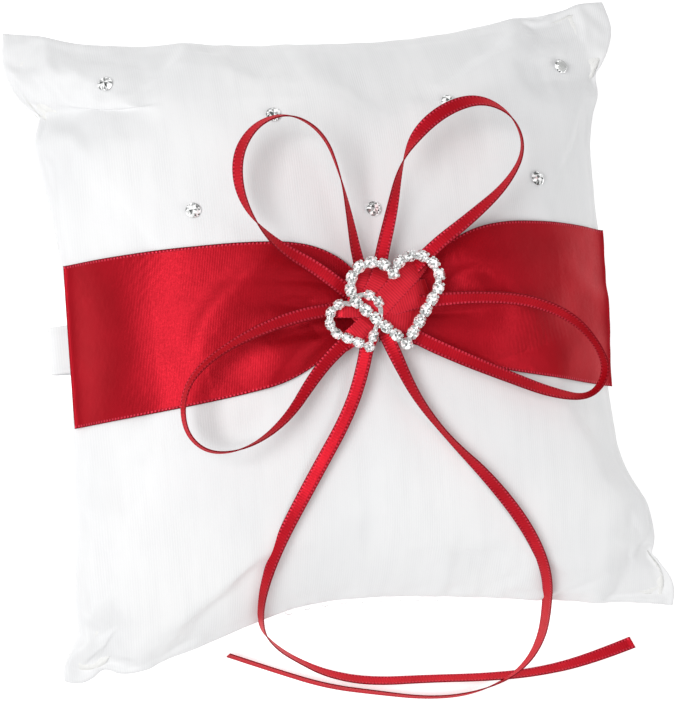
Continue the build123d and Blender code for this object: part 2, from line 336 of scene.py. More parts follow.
def red_satin_finish(name, half_width, rib, deep, bright, rib_share=0.35):
    """Red satin ribbon: fine weave, ribs across it, and woven edges of dark and light stitches. The weave map
    gives millimetres across and along the ribbon. half_width is half its width, and rib its ribs' spacing."""
    f = Finish(name, bright, 0.45, Metallic=0.35, IOR=2.0, Specular_IOR_Level=1.0, Anisotropic=0.45)
    f.set("Specular Tint", (1.0, 0.06, 0.10, 1))
    at = f.place("weave")
    parts = f.node("SeparateXYZ", {"Vector": at}).outputs
    from_edge = f.math("SUBTRACT", half_width, f.math("ABSOLUTE", parts[0]))
    edge = f.spread(from_edge, 1.0, 0.8, 0, 1)
    rim = f.spread(from_edge, 0.3, 0.15, 0, 1)
    dots = f.ribs(at, 1, 1.15)
    weave = f.ribs(at, 1, rib)
    threads = f.ribs(at, 0, 0.33)
    slanted = f.noise(f.place("weave", stretch=(1.1, 2.2, 1)), 1.6, 2)
    cloud = f.noise(at, 0.09, 3)
    body = f.blend(f.spread(cloud), deep, bright)
    ribbed = f.math("MULTIPLY", weave, slanted)
    woven = f.blend(f.math("MULTIPLY", ribbed, rib_share), body, tuple(c * 0.45 for c in deep))
    dotted = f.blend(f.spread(dots, 0.35, 0.65), tuple(c * 0.4 for c in deep), (0.60, 0.045, 0.08))
    edged = f.blend(f.math("MULTIPLY", edge, 0.75), woven, dotted)
    f.join(f.blend(rim, edged, tuple(c * 0.35 for c in deep)), "Base Color")
    f.join(f.spread(f.noise(at, 1.2, 3), 0.3, 0.7, 0.41, 0.49), "Roughness")
    low = f.bump(f.noise(at, 0.35, 3), 0.1)
    mid = f.bump(f.math("ADD", ribbed, f.math("MULTIPLY", threads, 0.4)), 0.03, low)
    f.join(f.bump(f.math("MULTIPLY", edge, dots), 0.09, mid), "Normal")
    f.join(f.node("Tangent", direction_type="UV_MAP", uv_map="weave").outputs[0], "Tangent")
    return f.material


def thread_finish(name, colour):
    """Sewing thread: slanting twist and a little fuzz."""
    f = Finish(name, colour, 0.6, Sheen_Weight=0.3)
    at = f.place()
    wave = f.node("TexWave", {"Vector": at, "Scale": 900.0, "Distortion": 1.5}, bands_direction="DIAGONAL")
    twist = wave.outputs[1]
    f.join(f.blend(f.math("MULTIPLY", twist, 0.4), colour, tuple(c * 0.7 for c in colour)), "Base Color")
    f.join(f.bump(twist, 0.05), "Normal")
    return f.material


def fibre_finish():
    """Polyester wadding: white, matt and tangled."""
    f = Finish("polyester_fibre", (0.9, 0.9, 0.88), 0.9)
    at = f.place()
    tangle = f.noise(at, 900, 6, 0.7)
    f.join(f.blend(tangle, (0.78, 0.78, 0.76), (0.94, 0.94, 0.93)), "Base Color")
    f.join(f.bump(tangle, 0.3), "Normal")
    return f.material


def silver_finish():
    """Plated setting: bright metal with faint casting unevenness and a little tarnish."""
    f = Finish("silver_setting", (0.85, 0.85, 0.85), 0.2, Metallic=0.75)
    at = f.place()
    uneven = f.noise(at, 700, 3)
    f.join(f.blend(f.spread(uneven, 0.35, 0.65), (0.74, 0.74, 0.73), (0.94, 0.94, 0.94)), "Base Color")
    f.join(f.spread(uneven, 0.3, 0.7, 0.14, 0.30), "Roughness")
    f.join(f.bump(uneven, 0.04), "Normal")
    return f.material


def crystal_finish():
    """Foil-backed cut crystal with painted reflections: each facet's colour is a painted share of reflected
    light, from dark to white, read from the facet attribute, and the brightest facets glow with a painted
    glint.
    """
    f = Finish("clear_crystal", (0.9, 0.92, 0.92), 0.06, Specular_IOR_Level=0.9, Coat_Weight=1.0,
               Coat_Roughness=0.02, Metallic=0.35)
    share = f.node("Attribute", attribute_name="facet").outputs["Fac"]
    at = f.place()
    cloud = f.noise(at, 500, 2)
    painted_reflection = f.spread(f.math("ADD", share, f.spread(cloud, 0.3, 0.7, -0.06, 0.06)), 0, 1, 0, 1)
    # painted reflection: the base colour runs from near black to white by each facet's painted share
    f.join(f.blend(painted_reflection, (0.055, 0.065, 0.06), (0.97, 0.98, 0.98)), "Base Color")
    f.join(f.spread(cloud, 0.3, 0.7, 0.03, 0.10), "Roughness")
    # painted glint: the brightest facets give off light by emission
    f.join(f.blend(f.spread(painted_reflection, 0.7, 1.0, 0, 1), (0, 0, 0), (1, 1, 1)), "Emission Color")
    f.set("Emission Strength", 0.32)
    return f.material


def glue_finish():
    """A clear dab of glue."""
    f = Finish("clear_glue", (0.82, 0.83, 0.82), 0.15, Transmission_Weight=0.5)
    uneven = f.noise(f.place(), 400, 2)
    f.join(f.spread(uneven, 0.3, 0.7, 0.1, 0.25), "Roughness")
    f.join(f.bump(uneven, 0.05), "Normal")
    return f.material


def floor_finish():
    """A pale, even studio floor."""
    f = Finish("studio_floor", (0.93, 0.93, 0.93), 0.9, Specular_IOR_Level=0.1)
    cloud = f.noise(f.place(), 3, 2)
    f.join(f.blend(cloud, (0.92, 0.92, 0.92), (0.95, 0.95, 0.95)), "Base Color")
    f.set("Emission Color", (1, 1, 1, 1))
    f.set("Emission Strength", 0.42)
    return f.material


white_satin = white_satin_finish()
wide_satin = red_satin_finish("red_satin_wide", wide_ribbon_width / 2, 0.5, (0.30, 0.0016, 0.005),
                              (0.38, 0.003, 0.009))
narrow_satin = red_satin_finish("red_satin_narrow", ribbon_width / 2, 0.8, (0.43, 0.003, 0.009),
                                (0.57, 0.007, 0.018), 0.65)
# The knot's half width is more than its ribbon's, so that hardly any of the woven edge shows.
# Its colours are a lighter copy of the narrow ribbon's satin, though the knot is the same ribbon: a painted
# highlight where the knot's flat turns catch little sheen.
knot_satin_painted_highlight = red_satin_finish("red_satin_knot_painted_highlight", 2.9, 0.8, (0.62, 0.014, 0.026), (0.80, 0.035, 0.055), 0.9)
white_thread = thread_finish("white_thread", (0.85, 0.85, 0.85))
red_thread = thread_finish("red_thread", (0.35, 0.008, 0.015))
polyester_fibre = fibre_finish()
silver_setting = silver_finish()
clear_crystal = crystal_finish()
clear_glue = glue_finish()

floor_corners = np.array([(-1, -1), (1, -1), (1, 1), (-1, 1)]) * 3000
floor_points = np.c_[floor_corners, np.full(4, -0.3)]  # just below the surface that the pillow rests on
floor = make("studio_floor", floor_points, [(0, 1, 2, 3)], floor_finish())

# ---- narrow ribbons

ribbon_thickness = 0.35
# Round the ribbon's section: (across as a share of half the width, up as a share of half the thickness).
# Its woven edges are a little thicker than its middle.
quarter_section = [(1, 0), (0.985, 0.8), (0.93, 1.25), (0.84, 1.2), (0.76, 0.8), (0.4, 0.75), (0, 0.75)]
ribbon_section = all_round(quarter_section) * (ribbon_width / 2, ribbon_thickness / 2)
front_side = np.array((-0.21, -0.05, 0.98))  # the way a ribbon's face looks when its turn is 0

# Each ribbon of the bow from the knot outwards: (x, y, z, turn). The turn is in degrees: 0 lies facing the
# front, 90 stands on its edge, and 180 shows its other face.
bow_routes = {
    "bow_loop_upper_left": [
        (-4.4, 6.3, 68.3, 0), (-14, 15, 71, 0), (-28.5, 24, 73, 52), (-37.6, 37, 74.5, 122),
        (-38.2, 51, 75, 142), (-31, 60.8, 75, 120), (-20, 63.4, 74.5, 96), (-10.2, 56.5, 74, 82),
        (-6.2, 43, 73, 88), (-4.4, 30, 71.5, 116), (-3.0, 18, 69.5, 140), (-0.7, 9.1, 68.3, 150)],
    "bow_loop_upper_right": [
        (2.2, 9.4, 68.3, 12), (4.2, 18, 70, 20), (8.4, 31, 72, 34), (12.2, 45.5, 74.5, 76),
        (18.8, 55.5, 76, 160), (29.5, 62.3, 75.5, 168), (40.5, 64.2, 74, 132), (50, 58.5, 73, 96),
        (52.8, 48, 73, 87), (45.8, 37.5, 73.5, 66), (33.2, 28, 73, 34), (18.6, 18.5, 70.5, 14),
        (6.4, 7.2, 68.3, 5)],
    "bow_loop_lower_left": [
        (-5.6, 3.2, 68.3, 20), (-15, 3.8, 70, 20), (-30, 1, 72, 25), (-46, -5, 72.5, 60),
        (-57, -12.5, 73, 65), (-61, -21, 73, 68), (-60, -30.5, 72, 72), (-53, -36.5, 71, 78),
        (-41, -35.5, 70.5, 92), (-29.2, -28, 70.5, 122), (-20, -16.4, 69.5, 146),
        (-12, -8.5, 68.6, 164), (-3.4, -2.8, 68.3, 180)],
    "bow_loop_lower_right": [
        (8.3, 3.3, 68.3, 20), (20, 4, 71, 22), (35, 3.5, 72.5, 40), (50, 1.2, 72, 40),
        (63, -4.8, 70, 52), (71.6, -13.5, 66.5, 74), (75.6, -22.5, 63, 60), (69.8, -30.5, 61, 78),
        (56.5, -27.8, 63, 44), (40, -20.8, 67.5, 36), (26, -14.2, 69.5, 14), (14, -7.6, 69.2, 0),
        (6.5, -2.2, 68.3, 0)],
    "tail_left": [
        (-1.2, -4, 68.3, 10), (-3.6, -13.5, 68, 22), (-9.5, -28, 66.3, 28), (-21.5, -46, 62.5, 16),
        (-33.6, -66, 55.5, 34), (-38.8, -81.5, 46.5, 55), (-37.6, -92.5, 33, 66),
        (-31.5, -99.5, 19, 88), (-23, -106, 8, 94), (-12, -112.6, 3.2, 112), (2.5, -117, 2.4, 118),
        (23, -118.5, 2.2, 113), (43, -120.5, 2, 115), (61, -121, 2.2, 118), (80, -119, 2, 134),
        (96.5, -115, 1.6, 148)],
    "tail_right": [
        (3.5, -4.1, 68.3, 0), (6.6, -13, 68, 32), (12.2, -26, 66.3, 57), (21.4, -38.5, 63.5, 74),
        (34, -52, 60.5, 36), (46.2, -68.5, 55.5, 30), (53.6, -84, 48.5, 50), (56.4, -97.5, 34, 58),
        (58.4, -107.5, 19, 66), (56, -116, 9.5, 80), (49, -122, 5, 92), (36, -125.5, 2.6, 110),
        (21, -124.8, 2.2, 110), (4, -120.8, 2.2, 116), (-12, -116.8, 2.2, 118), (-28, -110, 2.2, 116),
        (-44.3, -102.5, 2.2, 116)],
}

for name, route in bow_routes.items():
    controls = np.array(route, float)
    line = spline_line(controls[:, :3] * MM) / MM
    turns = np.radians(spline_line(np.c_[controls[:, 3], np.zeros(len(controls))])[:, :1])
    ahead = directions(line)
    level = unit(np.cross(front_side, ahead))
    raised = np.cross(ahead, level)
    across = np.cos(turns) * level + np.sin(turns) * raised
    piece = strip(name + "_ribbon", line, across, np.cross(ahead, across), ribbon_section, narrow_satin)
    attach(piece, "root")
    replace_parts(piece, name)

# ---- pillow cover

seam_height = 32.0
front_rise = 33.0
back_drop = 34.4
rest_height = 0.6
# The sewn edge, in plan, as control points of four sides. They meet at the corners.
left_edge = [
    (-100.3, -101.5), (-100.3, -97), (-98, -93), (-95.8, -89), (-94.4, -86), (-95.3, -79),
    (-94.4, -71), (-93.2, -60), (-92.6, -42), (-91.2, -22), (-89.6, 0), (-89.6, 15), (-90.4, 28),
    (-91.9, 42), (-93.2, 56), (-94.4, 66), (-92.6, 72), (-91.8, 76), (-97, 78.5), (-100, 84),
    (-101.5, 90), (-101.8, 96), (-101, 101.9)]
right_edge = [
    (101, -101.3), (102.3, -97), (101.2, -91.5), (97.4, -87), (94.6, -83), (96.2, -77), (95.2, -69),
    (92.4, -61), (88.9, -53), (88.2, -40), (87.3, -26), (87.8, -12), (88.6, 6), (89.5, 25), (89.9, 45),
    (90.2, 58), (90.8, 65), (92.4, 70), (92.8, 76), (95.5, 81), (99, 86.5), (101.2, 92), (100.3, 98),
    (99, 102.4)]
bottom_edge = [
    (-100.3, -101.5), (-96, -103.4), (-91, -102), (-87.5, -98.8), (-83, -101.8), (-77, -101.4),
    (-70, -99), (-57, -97), (-40, -91.6), (-22, -87.3), (0, -87.6), (25, -90.4), (52, -94.4),
    (78, -97.6), (92, -100), (101, -101.3)]
top_edge = [
    (-101, 101.9), (-92, 101.2), (-82, 98.8), (-70, 96.8), (-55, 96.1), (-38, 95.6), (-20, 94.4),
    (-2, 94), (17, 93.6), (32, 94.2), (46, 95.5), (60, 96.9), (73, 98.4), (84, 100), (91, 102.6),
    (99, 102.4)]
# Soft creases in the front: from, to, half width and depth.
creases = [
    ((8, -16), (22, -70), 4.5, 1.3), ((-2, -16), (-10, -66), 5.0, 0.8),
    ((15, -14), (52, -50), 5.0, 0.5), ((-98, 99), (-52, 78), 6.5, 1.8),
    ((-92, 75), (-66, 62), 4.5, 1.3), ((-95, 88), (-74, 84), 3.0, 0.6), ((99, 99), (66, 80), 6.0, 1.1),
    ((92, 71), (70, 66), 4.0, 0.7), ((95, -83), (66, -66), 5.0, 0.4),
    ((-87, -99), (-60, -74), 4.5, 1.2), ((-94, -86), (-72, -76), 4.0, 0.8),
    ((-8, 18), (-40, 84), 6.0, 0.5)]
knot_dip = 2.4  # how far the gather pulls the cover in below the knot
knot_dip_reach = 22
gather_centre = np.array((1.3, 2.5))
cover_cells = 88
cloth_frames = 20
pressure_room = 1.5  # the part of the cover's height that is left to the cloth's pressure
# How far the pressure may move a point, by its height above or below the seam.
pressure_cap = ((0, 8, 20, 30), (3.4, 2.6, 1.7, 1.2))


def side_line(controls, spacing):
    """A side of the seam as a smooth line, with its points at the spacing's shares of its length."""
    line = evenly(spline_line(controls), 400)[:, :2]
    share = np.linspace(0, 1, len(line))
    return np.stack([np.interp(spacing, share, line[:, k]) for k in (0, 1)], axis=1)


def cover_plan(spacing):
    """The cover in plan, filled in between its four sides: the two pairs of sides are blended, less the
    corners, which are then counted twice."""
    left, right = side_line(left_edge, spacing), side_line(right_edge, spacing)
    bottom, top = side_line(bottom_edge, spacing), side_line(top_edge, spacing)
    u, v = spacing[:, None, None], spacing[None, :, None]
    corners = ((1 - u) * (1 - v) * left[0] + u * (1 - v) * right[0]
               + (1 - u) * v * left[-1] + u * v * right[-1])
    return ((1 - v) * bottom[:, None] + v * top[:, None]
            + (1 - u) * left[None, :] + u * right[None, :] - corners)


def crown(u, v):
    """The share of the full height at a place in a square from -1 to 1: an ellipse's arc each way."""
    return np.sqrt(np.clip((1 - u ** 2) * (1 - v ** 2), 0, None))


def crease_depth(places):
    """How deep the creases are at places in plan: a valley along each line, fading at its far end."""
    depth = np.zeros(places.shape[:-1])
    for start, end, width, deepest in creases:
        start, run = np.array(start, float), np.subtract(end, start).astype(float)
        along = (places - start) @ run / (run @ run)
        off = np.linalg.norm(places - start - np.clip(along, 0, 1)[..., None] * run, axis=-1)
        fade = np.clip(np.where(along < 0, 1, 1 - along), 0, 1)
        depth += deepest * np.exp(-(off / width) ** 2) * fade
    return depth


def cover_mesh():
    """The closed cover: front and back grids that share the seam's points. Returns its points, its faces, and
    the indices of the seam's points in their order round the cover."""
    spacing = crowded(cover_cells + 1, 0.55)
    plan = cover_plan(spacing)
    u, v = np.meshgrid(spacing * 2 - 1, spacing * 2 - 1, indexing="ij")
    height = crown(u, v)
    from_knot = np.linalg.norm(plan - gather_centre, axis=-1)
    front = (seam_height + (front_rise - pressure_room) * height
             - crease_depth(plan) * np.minimum(1, height * 3)
             - knot_dip * np.exp(-(from_knot / knot_dip_reach) ** 2))
    back = np.maximum(seam_height - (back_drop - pressure_room) * height, rest_height)
    count = cover_cells + 1
    front_index = np.arange(count * count).reshape(count, count)
    inside = np.zeros((count, count), bool)
    inside[1:-1, 1:-1] = True
    back_index = front_index.copy()
    back_index[inside] = count * count + np.arange(inside.sum())
    points = np.concatenate([np.dstack([plan, front]).reshape(-1, 3), np.dstack([plan, back])[inside]])
    faces = [np.stack([i[:-1, :-1], i[1:, :-1], i[1:, 1:], i[:-1, 1:]], axis=-1).reshape(-1, 4)
             for i in (front_index, back_index)]
    seam = np.concatenate([front_index[:, 0], front_index[-1, 1:], front_index[-2::-1, -1],
                           front_index[0, -2:0:-1]])
    return points, np.concatenate([faces[0], faces[1][:, ::-1]]), seam


def inflate(piece, pinned, cap):
    """Cloth, blown up a little from inside with its seam held, and each point kept within its cap."""
    start = mesh_points(piece.data)
    held = piece.vertex_groups.new(name="seam")
    held.add(pinned, 1.0, "REPLACE")
    cloth = piece.modifiers.new("cloth", "CLOTH")
    for key, value in {"quality": 6, "mass": 0.2, "tension_stiffness": 12, "compression_stiffness": 12,
                       "shear_stiffness": 4, "bending_stiffness": 0.05, "shrink_min": -0.045,
                       "vertex_group_mass": "seam", "pin_stiffness": 1.0, "use_pressure": True,
                       "uniform_pressure_force": 4}.items():
        setattr(cloth.settings, key, value)
    cloth.settings.effector_weights.gravity = 0
    cloth.collision_settings.use_collision = False
    scene = bpy.context.scene
    for number in range(1, cloth_frames + 1):
        scene.frame_set(number)
    end = settled(piece)
    scene.frame_set(1)
    piece.modifiers.clear()
    piece.vertex_groups.clear()
    moved = end - start
    far = np.linalg.norm(moved, axis=1, keepdims=True)
    kept = start + moved * np.minimum(1, cap[:, None] / np.maximum(far, 1e-9))
    kept[:, 2] = np.maximum(kept[:, 2], rest_height)
    piece.data.vertices.foreach_set("co", (kept * MM).ravel())
    piece.data.update()


cover_points, cover_faces, seam_index = cover_mesh()
cover = make("pillow_cover", cover_points, cover_faces, white_satin)
from_seam = np.abs(cover_points[:, 2] - seam_height)
inflate(cover, seam_index.tolist(), np.interp(from_seam, *pressure_cap))
cover_points = mesh_points(cover.data)
smoothing = cover.modifiers.new("smooth", "SUBSURF")
smoothing.levels = smoothing.render_levels = 1
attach(cover, "root")
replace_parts(cover, "front_panel", "back_panel")

fill_share = 0.965  # the filling is the cover drawn in towards the pillow's middle
thread_share = 0.985  # and the seam's thread is the seam drawn in towards it
pillow_middle = np.array((0, 0, seam_height))
fill_points = pillow_middle + (cover_points - pillow_middle) * fill_share
filling = make("filling", fill_points, cover_faces, polyester_fibre)
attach(filling, "root")
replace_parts(filling, "fibre_fill")


def closed_tube(name, line, radius, sides, finish):
    """A round tube along a closed line; its section is square to the line and kept upright."""
    ahead = unit(np.roll(line, -1, 0) - np.roll(line, 1, 0))
    side = unit(np.cross(ahead, (0.01, 0.02, 1)))
    up = np.cross(side, ahead)
    angle = round_angles(sides)
    points = (line[:, None] + radius * np.cos(angle)[None, :, None] * side[:, None]
              + radius * np.sin(angle)[None, :, None] * up[:, None])
    piece = make(name, points, grid_faces(len(line), sides, closed=True, looped=True), finish)
    outward(piece)
    return piece


seam_line = cover_points[seam_index]
thread_line = pillow_middle + (seam_line - pillow_middle) * thread_share
thread_line = evenly(np.r_[thread_line, thread_line[:1]], 700)[:-1]
stitching = closed_tube("seam_stitching", thread_line, 0.15, 6, white_thread)
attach(stitching, "root")
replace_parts(stitching, "seam_thread")


def stitch_rows(name, arcs, radius, sides, finish):
    """Short threads, one along each arc, as one mesh. Each thins towards its two flat ends."""
    points, faces = [], []
    angle = round_angles(sides)
    for number, arc in enumerate(arcs):
        ahead = directions(arc)
        side = unit(np.cross(ahead, (1.0, 0.02, 0.01)))
        up = np.cross(side, ahead)
        width = radius * np.sin(np.linspace(0.15, 0.85, len(arc)) * np.pi)[:, None, None] ** 0.4
        points.append(arc[:, None] + width * (np.cos(angle)[None, :, None] * side[:, None]
                                              + np.sin(angle)[None, :, None] * up[:, None]))
        own = grid_faces(len(arc), sides, closed=True).tolist()
        own += [list(range(sides)), [(len(arc) - 1) * sides + k for k in range(sides)][::-1]]
        faces += [[number * len(arc) * sides + k for k in face] for face in own]
    piece = make(name, np.concatenate(points), faces, finish)
    outward(piece)
    return piece


closing_steps = (np.arange(10) - 4.5) * 6.0  # where along the bottom edge the hand stitches are
bottom_seam = seam_line[seam_line[:, 1] < -80]
over_edge = np.radians(np.linspace(-70, 70, 11))
stitch_slant, stitch_reach, stitch_rise = 0.9, 1.15, 1.5
closing_arcs = []
for step in closing_steps:
    at = bottom_seam[np.abs(bottom_seam[:, 0] - step).argmin()]
    closing_arcs.append(np.c_[at[0] + stitch_slant * np.sin(over_edge),
                              at[1] + 0.9 - stitch_reach * np.cos(over_edge),
                              at[2] + stitch_rise * np.sin(over_edge)])
closing = stitch_rows("closing_stitching", closing_arcs, 0.16, 8, white_thread)
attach(closing, "root")
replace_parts(closing, "closing_stitches")


def top_of(target, places, above=150.0):
    """The height of a piece's top at places in plan, found by dropping loose points on it."""
    places = np.asarray(places, float)
    flat = places.reshape(-1, 2)
    cloud = make("dropped", np.c_[flat, np.full(len(flat), above)], [])
    drop = cloud.modifiers.new("drop", "SHRINKWRAP")
    drop.wrap_method = "PROJECT"
    drop.target = target
    drop.use_project_z = True
    drop.use_negative_direction = True
    drop.use_positive_direction = False
    height = settled(cloud)[:, 2].reshape(places.shape[:-1])
    bpy.data.objects.remove(cloud)
    return np.where(height > above - 1, seam_height, height)


# ---- wide ribbon

upper_line = [
    (-88.9, 26.5), (-72, 27), (-53, 27), (-36, 27), (-18, 25.5), (-7, 20), (-1, 12.5), (3, 12),
    (10, 15), (20, 17.5), (33, 25), (46, 27.5), (62, 27), (76, 26), (88.9, 24.8)]
lower_line = [
    (-90.0, -24.2), (-74, -22.8), (-59, -21.5), (-42, -19.6), (-26, -17), (-12, -9), (-3, -5.5),
    (4, -5), (13, -8.5), (30, -16), (48, -20.5), (64, -23.5), (77, -25.8), (86.2, -26.9)]
# Gathers that fan out from the knot: side (-1 left, 1 right), share across from -1 below to 1 above, half its
# width, rise at the knot, how far out it fades away, and its drift across on the way.
gathers = [
    (-1, 0.62, 0.30, 1.9, 30, 0.10), (-1, 0.05, 0.22, 1.7, 30, -0.10), (-1, -0.62, 0.28, 1.8, 26, 0.0),
    (-1, 0.34, 0.07, -1.5, 24, 0.10), (-1, -0.24, 0.07, -1.5, 26, 0.0), (1, 0.66, 0.28, 2.0, 30, -0.05),
    (1, -0.02, 0.20, 1.8, 30, 0.05), (1, -0.55, 0.28, 1.8, 28, 0.0), (1, -0.26, 0.07, -1.4, 24, 0.04)]
# Folds: control points of the ridge's line, its reach to the left and to the right of that line, and its rise
# (below 0 for a crease).
broad_folds = [
    ([(-77, -25), (-75, -8), (-72, 8), (-68, 27)], 12.0, 15.0, 2.6),
    ([(-51, -9), (-52, -3), (-50, 3), (-44.5, 9.5), (-36, 16), (-25, 24)], 4.2, 8.5, 1.7),
    ([(-36, -20), (-29, -10), (-17, -2)], 12.0, 5.0, 2.2),
    ([(-4, 13), (-15, 20), (-25, 23)], 2.0, 3.0, -1.2),
    ([(-10, 6), (-20, 7), (-30, 7)], 3.0, 2.0, -1.6),
    ([(-11, -2), (-21, -2), (-30, -4)], 1.6, 2.6, -1.2),
    ([(50, -14), (47, 0), (44, 9), (38, 16), (29, 25)], 14.0, 19.0, 6.5),
    ([(17, 4), (25, 10), (32, 13), (39, 11), (43, 4)], 2.2, 2.6, -0.9),
    ([(48, -16), (36, -8), (22, -4)], 8.0, 7.0, 1.4)]
fold_steps = 80
cover_share = 0.994  # where the wide ribbon is measured against the cover, so its ends stay on it
ribbon_rise = 0.45  # the ribbon's top above the cover where nothing lifts it
lowest_rise = 0.3
pressed_heights = (64.6, 66.6)


def fold_rise(plan):
    """How far the folds lift the ribbon at places in plan: a rounded ridge along each fold's line, steeper
    on one side, which fades towards both ends."""
    rise = np.zeros(plan.shape[:-1])
    for controls, left_width, right_width, height in broad_folds:
        line = evenly(spline_line(controls), fold_steps)[:, :2]
        ahead = directions(line)
        apart = plan[:, :, None] - line
        closest = np.linalg.norm(apart, axis=-1).argmin(axis=-1)
        off = np.take_along_axis(apart, closest[..., None, None], axis=2)[:, :, 0]
        sideways = ahead[closest, 0] * off[..., 1] - ahead[closest, 1] * off[..., 0]
        width = np.where(sideways > 0, left_width, right_width)
        fade = np.sin(np.pi * (0.08 + 0.84 * closest / (fold_steps - 1)))
        rise += height * np.exp(-(off ** 2).sum(axis=-1) / width ** 2) * fade
    return rise


def smoothed(values, passes):
    """A grid of values with each averaged with its neighbours, over and over."""
    for _ in range(passes):
        wide = np.pad(values, ((4, 4), (1, 1)), mode="edge")
        along = (wide[:-8] + wide[2:-6] + wide[4:-4] + wide[6:-2] + wide[8:]) / 5
        values = (along[:, :-2] + along[:, 1:-1] * 2 + along[:, 2:]) / 4
    return values


def wide_ribbon_mesh():
    """The wide ribbon: a grid from its lower line to its upper line that rests on the cover, and that the
    gathers and the broad folds lift."""
    rows, columns = 360, 90
    shares = crowded(rows, 0.35)
    line_steps = 600
    upper, lower = (evenly(spline_line(line), line_steps) for line in (upper_line, lower_line))
    at = np.linspace(0, 1, line_steps)
    across = np.linspace(-1, 1, columns)
    top, bottom = (np.stack([np.interp(shares, at, side[:, k]) for k in (0, 1)], axis=1)
                   for side in (upper, lower))
    plan = ((1 - across[None, :, None]) * bottom[:, None] + (1 + across[None, :, None]) * top[:, None]) / 2
    x = plan[..., 0]
    reach = np.abs(x - gather_centre[0])
    rise = np.zeros(x.shape)
    for side, share, width, height, fades, drift in gathers:
        centre = share + drift * np.clip(reach / fades, 0, 2)
        wave = height * np.exp(-((across[None, :] - centre) / width) ** 2)
        onside = np.clip(side * (x - gather_centre[0]) / 6 + 0.2, 0, 1)
        rise += wave * np.exp(-(reach / fades) ** 2) * onside * np.clip(reach / 7, 0.25, 1)
    lifted = np.clip((95 - np.abs(x)) / 30, 0, 1)  # gathers and folds fade towards the ribbon's ends
    rise = np.maximum(ribbon_rise + (rise + fold_rise(plan)) * lifted, lowest_rise)
    height = smoothed(top_of(cover, plan * cover_share), 9) + rise
    middle = np.exp(-(reach / 16) ** 2)  # at the knot the ribbon is pressed nearly flat
    height = height * (1 - middle) + np.clip(height, *pressed_heights) * middle
    points = np.dstack([plan, height])
    length = np.r_[0, np.cumsum(np.linalg.norm(np.diff(points[:, columns // 2], axis=0), axis=1))]
    uv = np.stack(np.broadcast_arrays(across[None, :] * wide_ribbon_width / 2, length[:, None]), axis=-1)
    return points, grid_faces(rows, columns)[:, ::-1], uv.reshape(-1, 2)


ribbon_points, ribbon_faces, ribbon_uv = wide_ribbon_mesh()
wide_ribbon = make("wide_ribbon_band", ribbon_points, ribbon_faces, wide_satin, ribbon_uv)
thick = wide_ribbon.modifiers.new("cloth", "SOLIDIFY")
thick.thickness = 0.25 * MM
thick.offset = -1
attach(wide_ribbon, "root")
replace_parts(wide_ribbon, "wide_ribbon")

# ---- knot


knot_foot = 66.4  # where the knot's turns meet the wide ribbon


def knot_turn(name, start, end, lift, width, bow=0.0):
    """One turn of narrow ribbon over the knot: an arch from start to end, with a crowned section."""
    start, end = np.array(start, float), np.array(end, float)
    share = np.linspace(0, 1, 40)
    arch = np.clip(1 - np.abs(2 * share - 1) ** 4.5, 0, 1)
    run = end - start
    side = np.array((-run[1], run[0])) / np.linalg.norm(run)
    plan = start + share[:, None] * run + side * (bow * np.sin(share * np.pi))[:, None]
    line = np.c_[plan, knot_foot + (lift - knot_foot) * arch]
    ahead = directions(line)
    across = unit(np.cross((0, 0, 1), ahead))
    section = ribbon_section * (width / ribbon_width, 1.0)
    section[:, 1] += 0.35 * (1 - (section[:, 0] / (width / 2)) ** 2)
    piece = strip("knot_turn_" + name, line, across, np.cross(ahead, across), section, knot_satin_painted_highlight,
                  ribbon_section[:, 0])
    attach(piece, "root")


knot_turn("front", (17.0, 16.6), (-3.6, -1.6), 71.1, 7.0)
knot_turn("right", (18.6, 6.6), (-1.0, 2.0), 70.8, 8.8, bow=-0.6)
knot_turn("low", (15.4, -2.2), (-0.6, 1.4), 70.6, 8.0, bow=0.4)
knot_turn("top", (5.6, 15.4), (-3.6, 2.4), 70.7, 7.2, bow=0.8)
knot_turn("side", (-0.8, 16.0), (-5.8, 1.6), 70.2, 6.8, bow=0.4)
knot_turn("left", (1.0, 3.0), (-13.0, 3.6), 70.5, 4.8, bow=0.5)
knot_turn("foot", (0.6, 2.0), (-9.6, -6.8), 70.6, 5.6, bow=0.6)
knot_turn("back", (2.4, 1.0), (-2.6, -8.4), 70.2, 5.2, bow=-0.6)


def rounded_core(name, centre, radii, low, finish):
    """The knot's packed middle: a flattened dome whose rim is pulled into shallow pleats."""
    sides, rings = 72, 25
    around, up = np.meshgrid(round_angles(sides),
                             np.linspace(-0.5, 0.5, rings) * np.pi)
    pleat = 1 + 0.05 * np.cos(9 * around) * np.cos(up)
    points = np.dstack([centre[0] + radii[0] * np.cos(up) * np.cos(around) * pleat,
                        centre[1] + radii[1] * np.cos(up) * np.sin(around) * pleat,
                        low + radii[2] * (1 + np.sin(up))])
    uv = np.stack([np.sin(up) * 2.0, around * radii[0]], axis=-1).reshape(-1, 2)
    piece = make(name, points, grid_faces(rings, sides, closed=True), finish, uv)
    outward(piece)
    return piece


core = rounded_core("knot_core", gather_centre, (6.6, 6.4, 1.9), 65.8, knot_satin_painted_highlight)
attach(core, "root")
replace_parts(core, "bow_knot")

# ---- double heart buckle

big_heart = {"middle": (7.0, 9.8), "turn": 5.0, "spread": 6.7, "lobe": 7.3, "tip": 18.7, "base": 72.4,
             "stones": 22, "stone": 3.4}
small_heart = {"middle": (-6.0, 1.0), "turn": 19.0, "spread": 3.3, "lobe": 5.0, "tip": 10.3, "base": 71.2,
               "stones": 14, "stone": 2.9}
heart_steps = 180
stone_overlap = 0.14  # added to a stone's radius, so that the row looks closed
stone_height = 1.9


